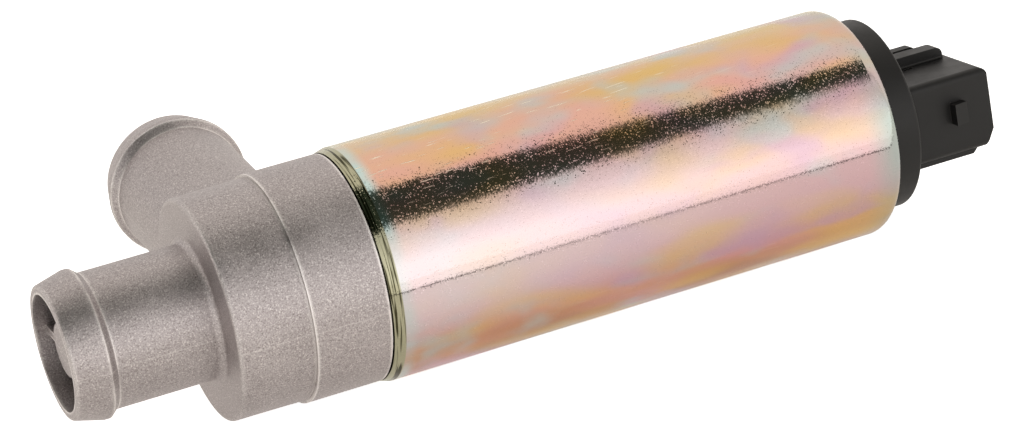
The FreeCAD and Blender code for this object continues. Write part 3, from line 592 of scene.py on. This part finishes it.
def makePassivatedZinc(look):
    finish, tree, shader, place = newFinish("yellowPassivatedZinc", 1.0)
    parts = addNode(tree, "ShaderNodeSeparateXYZ", {}, {0: place})
    around = angleAround(tree, parts)
    noises = {}
    for layer, (detail, shift) in look["layers"].items():
        along, across = look[layer + "Mm"]
        layerMap = addNode(tree, "ShaderNodeMapping", {}, {
            "Vector": place, "Scale": (perMetre(along), perMetre(across), perMetre(across)),
            "Location": shift})
        noises[layer] = addNode(tree, "ShaderNodeTexNoise", {}, {
            "Vector": layerMap.outputs["Vector"], "Scale": 1.0, "Detail": detail, "Roughness": 0.45,
            "Distortion": 0.2}).outputs["Fac"]
    # the film's colours run around the can, pulled about by the drift; the stops below the front darken
    # towards the bottom as painted shade
    pull = addNode(tree, "ShaderNodeMath", {"operation": "MULTIPLY_ADD"},
                   {0: noises["drift"], 1: look["driftTurn"], 2: -look["driftTurn"] / 2})
    pulled = addNode(tree, "ShaderNodeMath", {"operation": "ADD"}, {0: around, 1: pull.outputs["Value"]})
    filmAndShadeStops = [(rampPlace(angle), hexShade(shade)) for angle, shade in look["around"]]
    filmAndShade = addNode(tree, "ShaderNodeValToRGB", {"stops": filmAndShadeStops},
                   {0: turnShare(tree, pulled.outputs["Value"])})
    # gold runs, then clouds of blue-grey and lilac
    goldShare = addNode(tree, "ShaderNodeMapRange", {"interpolation_type": "SMOOTHSTEP"},
                        {"Value": noises["gold"], "From": look["goldSpan"], "To": look["goldShare"]})
    golden = addNode(tree, "ShaderNodeMix", {"data_type": "RGBA"},
                     {"Factor": goldShare.outputs["Result"], mixFrom: filmAndShade.outputs["Color"],
                      mixTo: hexShade(look["goldShade"])})
    cloudShare = addNode(tree, "ShaderNodeMapRange", {"interpolation_type": "SMOOTHSTEP"},
                         {"Value": noises["cloud"], "From": look["cloudSpan"], "To": look["cloudShare"]})
    cloudSide = addNode(tree, "ShaderNodeMapRange", {"interpolation_type": "SMOOTHSTEP"},
                        {"Value": noises["drift"], "From": look["cloudSides"]})
    cloudShade = addNode(tree, "ShaderNodeMix", {"data_type": "RGBA"},
                         {"Factor": cloudSide.outputs["Result"], mixFrom: hexShade(look["cloudShades"][0]),
                          mixTo: hexShade(look["cloudShades"][1])})
    clouded = addNode(tree, "ShaderNodeMix", {"data_type": "RGBA"},
                      {"Factor": cloudShare.outputs["Result"], mixFrom: golden.outputs[mixOut],
                       mixTo: cloudShade.outputs[mixOut]})
    # painted highlight: a pale, nearly colourless band along the front, where the soft box shines on the can
    offPale = addNode(tree, "ShaderNodeMath", {"operation": "SUBTRACT"}, {0: around, 1: look["paintedHighlightMiddle"]})
    paleFar = addNode(tree, "ShaderNodeMath", {"operation": "ABSOLUTE"}, {0: offPale.outputs["Value"]})
    highlightRound = addNode(tree, "ShaderNodeMapRange", {"interpolation_type": "SMOOTHSTEP"},
                        {"Value": paleFar.outputs["Value"], "From": look["paintedHighlightReach"]})
    paleAlong = addNode(tree, "ShaderNodeMapRange", {},
                        {"Value": parts.outputs["X"], "From": look["paintedHighlightPlace"], "To": look["paintedHighlightShare"]})
    paintedHighlightShare = addNode(tree, "ShaderNodeMath", {"operation": "MULTIPLY"},
                        {0: highlightRound.outputs["Result"], 1: paleAlong.outputs["Result"]})
    highlightPainted = addNode(tree, "ShaderNodeMix", {"data_type": "RGBA"},
                    {"Factor": paintedHighlightShare.outputs["Value"], mixFrom: clouded.outputs[mixOut],
                     mixTo: hexShade(look["paintedHighlightShade"])})
    # blue-grey at the front rim; on the rear shoulder a pale blue-grey painted reflection, only within the
    # front highlight band
    rimShare = addNode(tree, "ShaderNodeMapRange", {},
                       {"Value": noises["drift"], "From": look["rimSpan"], "To": look["rimShare"]})
    rim = addNode(tree, "ShaderNodeMapRange", {"interpolation_type": "SMOOTHSTEP"},
                  {"Value": parts.outputs["X"], "From": look["rimPlace"],
                   "To": (0.0, rimShare.outputs["Result"])})
    rimmed = addNode(tree, "ShaderNodeMix", {"data_type": "RGBA"},
                     {"Factor": rim.outputs["Result"], mixFrom: highlightPainted.outputs[mixOut],
                      mixTo: hexShade(look["rimShade"])})
    # painted reflection on the rear shoulder, only where the front highlight band falls
    shoulderShare = addNode(tree, "ShaderNodeMapRange", {},
                            {"Value": highlightRound.outputs["Result"], "To": look["shoulderShare"]})
    shoulder = addNode(tree, "ShaderNodeMapRange", {"interpolation_type": "SMOOTHSTEP"},
                       {"Value": parts.outputs["X"], "From": look["shoulderPlace"],
                        "To": (0.0, shoulderShare.outputs["Result"])})
    shoulderReflected = addNode(tree, "ShaderNodeMix", {"data_type": "RGBA"},
                         {"Factor": shoulder.outputs["Result"], mixFrom: rimmed.outputs[mixOut],
                          mixTo: hexShade(look["paintedShoulderReflection"])})
    # scratches along the can, in loose groups
    scratchLength, scratchWidth = look["scratchMm"]
    scratchMap = addNode(tree, "ShaderNodeMapping", {"vector_type": "TEXTURE"}, {
        "Vector": place, "Rotation": look["scratchTurn"],
        "Scale": (metres(scratchLength), metres(scratchWidth), metres(scratchWidth))})
    scratch = addNode(tree, "ShaderNodeTexNoise", {},
                      {"Vector": scratchMap.outputs["Vector"], "Scale": 1.0, "Detail": 1})
    line = addNode(tree, "ShaderNodeMapRange", {},
                   {"Value": scratch.outputs["Fac"], "From": look["scratchSpan"]})
    groupShare = addNode(tree, "ShaderNodeMapRange", {},
                         {"Value": parts.outputs["X"], "From": look["scratchPlace"],
                          "To": look["scratchShare"]})
    group = addNode(tree, "ShaderNodeMapRange", {},
                    {"Value": around, "From": look["scratchRound"],
                     "To": (look["scratchFew"], groupShare.outputs["Result"])})
    cut = addNode(tree, "ShaderNodeMath", {"operation": "MULTIPLY"},
                  {0: line.outputs["Result"], 1: group.outputs["Result"]})
    scratched = addNode(tree, "ShaderNodeMix", {"data_type": "RGBA"},
                        {"Factor": cut.outputs["Value"], mixFrom: shoulderReflected.outputs[mixOut],
                         mixTo: hexShade(look["scratchShade"])})
    # bare metal where the front edge was rolled over, with lines left by the roller
    lipShare = addNode(tree, "ShaderNodeMapRange", {"interpolation_type": "SMOOTHSTEP"},
                       {"Value": noises["lipLine"], "From": look["lipSpan"]})
    lipShade = addNode(tree, "ShaderNodeMix", {"data_type": "RGBA"},
                       {"Factor": lipShare.outputs["Result"], mixFrom: hexShade(look["lipShades"][0]),
                        mixTo: hexShade(look["lipShades"][1])})
    lip = addNode(tree, "ShaderNodeMapRange", {"interpolation_type": "SMOOTHSTEP"},
                  {"Value": parts.outputs["X"], "From": look["lipPlace"]})
    lipped = addNode(tree, "ShaderNodeMix", {"data_type": "RGBA"},
                     {"Factor": lip.outputs["Result"], mixFrom: scratched.outputs[mixOut],
                      mixTo: lipShade.outputs[mixOut]})
    tree.links.new(lipped.outputs[mixOut], shader.inputs["Base Color"])
    # polishing hairs lean the surface a little to either side around the can
    flat = addNode(tree, "ShaderNodeNewGeometry", {}, {})
    tangent = addNode(tree, "ShaderNodeVectorMath", {"operation": "CROSS_PRODUCT"},
                      {0: (1.0, 0.0, 0.0), 1: flat.outputs["Normal"]})
    hairGain = addNode(tree, "ShaderNodeMapRange", {"interpolation_type": "SMOOTHSTEP"},
                       {"Value": around, "From": look["hairRound"], "To": look["hairLean"]})
    hairSide = addNode(tree, "ShaderNodeMath", {"operation": "SUBTRACT"}, {0: noises["hair"], 1: noiseMean})
    hairTilt = addNode(tree, "ShaderNodeMath", {"operation": "MULTIPLY"},
                       {0: hairSide.outputs["Value"], 1: hairGain.outputs["Result"]})
    # here and there a grain of the plating leans much further and catches other light
    spark = addNode(tree, "ShaderNodeTexVoronoi", {}, {"Vector": place, "Scale": perMetre(look["sparkMm"])})
    sparkPick = addNode(tree, "ShaderNodeSeparateColor", {}, {0: spark.outputs["Color"]})
    sparkGate = addNode(tree, "ShaderNodeMath", {"operation": "GREATER_THAN"},
                        {0: sparkPick.outputs["Blue"], 1: look["sparkRare"]})
    sparkSide = addNode(tree, "ShaderNodeMath", {"operation": "SUBTRACT"},
                        {0: sparkPick.outputs["Green"], 1: noiseMean})
    sparkSize = addNode(tree, "ShaderNodeMath", {"operation": "MULTIPLY"},
                        {0: sparkGate.outputs["Value"], 1: hairGain.outputs["Result"]})
    sparkTurn = addNode(tree, "ShaderNodeMath", {"operation": "MULTIPLY"},
                        {0: sparkSide.outputs["Value"], 1: look["sparkLean"]})
    tilt = addNode(tree, "ShaderNodeMath", {"operation": "MULTIPLY_ADD"},
                   {0: sparkTurn.outputs["Value"], 1: sparkSize.outputs["Value"],
                    2: hairTilt.outputs["Value"]})
    leaned = addNode(tree, "ShaderNodeVectorMath", {"operation": "SCALE"},
                     {0: tangent.outputs["Vector"], "Scale": tilt.outputs["Value"]})
    hairy = addNode(tree, "ShaderNodeVectorMath", {"operation": "ADD"},
                    {0: flat.outputs["Normal"], 1: leaned.outputs["Vector"]})
    hairNormal = addNode(tree, "ShaderNodeVectorMath", {"operation": "NORMALIZE"},
                         {0: hairy.outputs["Vector"]})
    # dull flecks scatter light, so they show pale in dark reflections and dark in bright ones
    fleck = addNode(tree, "ShaderNodeTexVoronoi", {}, {"Vector": place, "Scale": perMetre(look["fleckMm"])})
    fleckDot = addNode(tree, "ShaderNodeMapRange", {},
                       {"Value": fleck.outputs["Distance"], "From": look["fleckDot"]})
    fleckColour = addNode(tree, "ShaderNodeSeparateColor", {}, {0: fleck.outputs["Color"]})
    fleckGate = addNode(tree, "ShaderNodeMapRange", {},
                        {"Value": fleckColour.outputs["Red"], "From": look["fleckPick"]})
    fleckShare = addNode(tree, "ShaderNodeMath", {"operation": "MULTIPLY"},
                         {0: fleckDot.outputs["Result"], 1: fleckGate.outputs["Result"]})
    dull = addNode(tree, "ShaderNodeMath", {"operation": "MAXIMUM"},
                   {0: cut.outputs["Value"], 1: fleckShare.outputs["Value"]})
    bump = addNode(tree, "ShaderNodeBump", {"invert": True},
                   {"Height": dull.outputs["Value"], "Distance": metres(look["reliefMm"]), "Strength": 1.0,
                    "Normal": hairNormal.outputs["Vector"]})
    tree.links.new(bump.outputs["Normal"], shader.inputs["Normal"])
    rough = addNode(tree, "ShaderNodeMix", {"data_type": "FLOAT"},
                    {"Factor": dull.outputs["Value"], "A": sheen(tree, noises["drift"], look["roughness"]),
                     "B": look["fleckRoughness"]})
    tree.links.new(rough.outputs["Result"], shader.inputs["Roughness"])
    return finish


passivatedZinc = makePassivatedZinc(zincLook)
wear(["can"], passivatedZinc)
print("can plated")


# black glass-filled nylon moulding: satin, faint moulded texture, edges dusty and slightly grey
nylonLook = {
    "shade": "0A0A0A",
    "bloom": "141312",
    "dust": "4A4744",
    "dustSpan": (0.4, 0.65),
    "dustShare": (0.0, 0.7),
    "cloudMm": 5.0,
    "textureMm": 0.25,  # moulded texture is finer, drawn coarser to show
    "edgeMm": 0.25,
    "edgeLean": (0.99, 0.85),  # cosine of the lean
    "ior": 1.43,
    "roughness": (0.38, 0.52),
    "reliefMm": 0.008,
}


def makeBlackMoulding(look):
    finish, tree, shader, place = newFinish("blackFilledNylon", 0.0)
    shader.inputs["IOR"].default_value = look["ior"]
    cloud = addNode(tree, "ShaderNodeTexNoise", {},
                    {"Vector": place, "Scale": perMetre(look["cloudMm"]), "Detail": 4, "Roughness": 0.6})
    texture = addNode(tree, "ShaderNodeTexNoise", {},
                      {"Vector": place, "Scale": perMetre(look["textureMm"]), "Detail": 2})
    skin = addNode(tree, "ShaderNodeMix", {"data_type": "RGBA"},
                   {"Factor": cloud.outputs["Fac"], mixFrom: hexShade(look["shade"]),
                    mixTo: hexShade(look["bloom"])})
    broken = addNode(tree, "ShaderNodeMapRange", {},
                     {"Value": cloud.outputs["Fac"], "From": look["dustSpan"], "To": look["dustShare"]})
    dusty = addNode(tree, "ShaderNodeMath", {"operation": "MULTIPLY"},
                    {0: edgeShare(tree, look["edgeMm"], look["edgeLean"]), 1: broken.outputs["Result"]})
    worn = addNode(tree, "ShaderNodeMix", {"data_type": "RGBA"},
                   {"Factor": dusty.outputs["Value"], mixFrom: skin.outputs[mixOut],
                    mixTo: hexShade(look["dust"])})
    tree.links.new(worn.outputs[mixOut], shader.inputs["Base Color"])
    tree.links.new(sheen(tree, cloud.outputs["Fac"], look["roughness"]), shader.inputs["Roughness"])
    bump = addNode(tree, "ShaderNodeBump", {},
                   {"Height": texture.outputs["Fac"], "Distance": metres(look["reliefMm"]), "Strength": 1.0})
    tree.links.new(bump.outputs["Normal"], shader.inputs["Normal"])
    return finish


blackMoulding = makeBlackMoulding(nylonLook)
wear(["connector_cap"], blackMoulding)
print("connector moulded")


# inside pieces: turned, drawn or moulded, each with its own colour, tool marks and sheen
insideShares = {"cloudMm": 4.0, "marks": 0.6, "cloud": 0.5}  # how marks and clouds lighten all of them
insideLook = {
    "tinnedBrass": {"nodes": ["terminal_front", "terminal_rear"], "light": "D6D3CA", "dark": "AFA89A",
                    "metallic": 1.0, "roughness": (0.22, 0.40), "markMm": (0.9, 0.2, 0.2), "reliefMm": 0.006},
    "enamelledCopper": {"nodes": ["coil_winding", "coil_lead_front", "coil_lead_rear"], "light": "C4703A",
                        "dark": "8A3F1C", "metallic": 1.0, "roughness": (0.18, 0.32),
                        "markMm": (0.35, 6.0, 6.0), "reliefMm": 0.06},
    "naturalNylon": {"nodes": ["coil_bobbin"], "light": "E2DCC6", "dark": "CFC6AA", "metallic": 0.0,
                     "roughness": (0.35, 0.5), "markMm": (1.2, 1.2, 1.2), "reliefMm": 0.01},
    "turnedIron": {"nodes": ["front_pole_plate", "rear_pole_plate", "pole_core", "armature"],
                   "light": "B4B2AF", "dark": "8E8B88", "metallic": 1.0, "roughness": (0.28, 0.42),
                   "markMm": (0.3, 5.0, 5.0), "reliefMm": 0.008},
    "groundStainless": {"nodes": ["guide_tube", "valve_rod", "spool_clip", "return_spring"],
                        "light": "D8D6D2", "dark": "B5B2AD", "metallic": 1.0, "roughness": (0.16, 0.28),
                        "markMm": (0.25, 4.0, 4.0), "reliefMm": 0.004},
    "turnedBrass": {"nodes": ["front_bush", "rear_bush", "anti_stick_washer"], "light": "D9B562",
                    "dark": "AE8638", "metallic": 1.0, "roughness": (0.22, 0.36),
                    "markMm": (0.3, 5.0, 5.0), "reliefMm": 0.006},
    "mouldedRubber": {"nodes": ["body_seal", "cap_seal"], "light": "242322", "dark": "161515",
                      "metallic": 0.0, "roughness": (0.55, 0.7), "markMm": (0.4, 0.4, 0.4), "reliefMm": 0.01},
    "turnedAluminium": {"nodes": ["valve_spool"], "light": "DAD9D8", "dark": "B2B0AE", "metallic": 1.0,
                        "roughness": (0.25, 0.38), "markMm": (0.35, 5.0, 5.0), "reliefMm": 0.012},
}


def makeInsideFinish(name, look):
    finish, tree, shader, place = newFinish(name, look["metallic"])
    marksMap = addNode(tree, "ShaderNodeMapping", {}, {
        "Vector": place, "Scale": tuple(perMetre(size) for size in look["markMm"])})
    marks = addNode(tree, "ShaderNodeTexNoise", {},
                    {"Vector": marksMap.outputs["Vector"], "Scale": 1.0, "Detail": 3, "Roughness": 0.6})
    cloud = addNode(tree, "ShaderNodeTexNoise", {},
                    {"Vector": place, "Scale": perMetre(insideShares["cloudMm"]), "Detail": 3})
    marksPart = addNode(tree, "ShaderNodeMath", {"operation": "MULTIPLY", "use_clamp": True},
                        {0: marks.outputs["Fac"], 1: insideShares["marks"]})
    total = addNode(tree, "ShaderNodeMath", {"operation": "MULTIPLY_ADD", "use_clamp": True},
                    {0: cloud.outputs["Fac"], 1: insideShares["cloud"], 2: marksPart.outputs["Value"]})
    skin = addNode(tree, "ShaderNodeMix", {"data_type": "RGBA"},
                   {"Factor": total.outputs["Value"], mixFrom: hexShade(look["dark"]),
                    mixTo: hexShade(look["light"])})
    tree.links.new(skin.outputs[mixOut], shader.inputs["Base Color"])
    tree.links.new(sheen(tree, cloud.outputs["Fac"], look["roughness"]), shader.inputs["Roughness"])
    bump = addNode(tree, "ShaderNodeBump", {},
                   {"Height": marks.outputs["Fac"], "Distance": metres(look["reliefMm"]), "Strength": 1.0})
    tree.links.new(bump.outputs["Normal"], shader.inputs["Normal"])
    return finish


for name, look in insideLook.items():
    wear(look["nodes"], makeInsideFinish(name, look))
print("inside pieces finished")


# the return spring, which the armature presses together, copied as it stands: metres along the axis
springLook = {"fixedEnd": 0.01845, "looseEnd": -0.0005, "travel": 0.006, "smoothDegrees": 40}
springCoil = mergedCopy("returnSpringCoil", "return_spring")
bpy.ops.object.shade_smooth_by_angle(angle=math.radians(springLook["smoothDegrees"]))
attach(springCoil, "housing")
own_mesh(springCoil)
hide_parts("return_spring")
print("spring wound")
